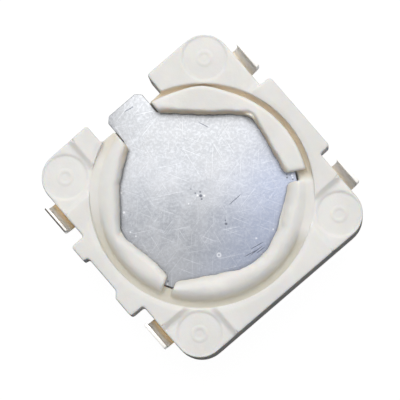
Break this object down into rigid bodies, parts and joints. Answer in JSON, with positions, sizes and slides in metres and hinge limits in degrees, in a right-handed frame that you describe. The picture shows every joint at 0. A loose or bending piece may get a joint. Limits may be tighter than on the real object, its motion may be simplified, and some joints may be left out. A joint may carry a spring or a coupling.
{
  "type": "tactile push button switch",
  "caption": "Sealed surface-mount tactile switch, solder side up: square moulded housing, swaged round steel closing plate with a tab, bent side leads, sprung push button below.",
  "frame": {"origin": "centre of the push button's face, on the surface that the switch rests on", "axes": "+Z from the button's face to the solder side, +Y towards the closing plate's tab, +X towards the leads beside the plain stop block"},
  "size_m": [0.0085, 0.0084, 0.0035],
  "materials": {
    "cream_lcp": "matt, as moulded",
    "plate_steel": "satin, scratched",
    "plated_bronze": "silver plated, bright",
    "dome_steel": "bright",
    "seal_rubber": "matt",
    "button_plastic": "fine matt",
    "cover_steel": "satin"
  },
  "bodies": {
    "switch_body": {"housing": "cream_lcp", "base_plate": "plate_steel", "common_terminal": "plated_bronze", "centre_terminal": "plated_bronze", "snap_dome": "dome_steel", "rubber_seal": "seal_rubber", "cover_plate": "cover_steel"},
    "button": {"push_button": "button_plastic"}
  },
  "joints": [
    {"name": "button_press", "type": "slide", "parent": "switch_body", "child": "button", "axis": [0, 0, 1], "range_m": [0, 0.0003], "stiffness_N_per_m": 10000, "deforming": ["snap_dome", "rubber_seal"]}
  ]
}
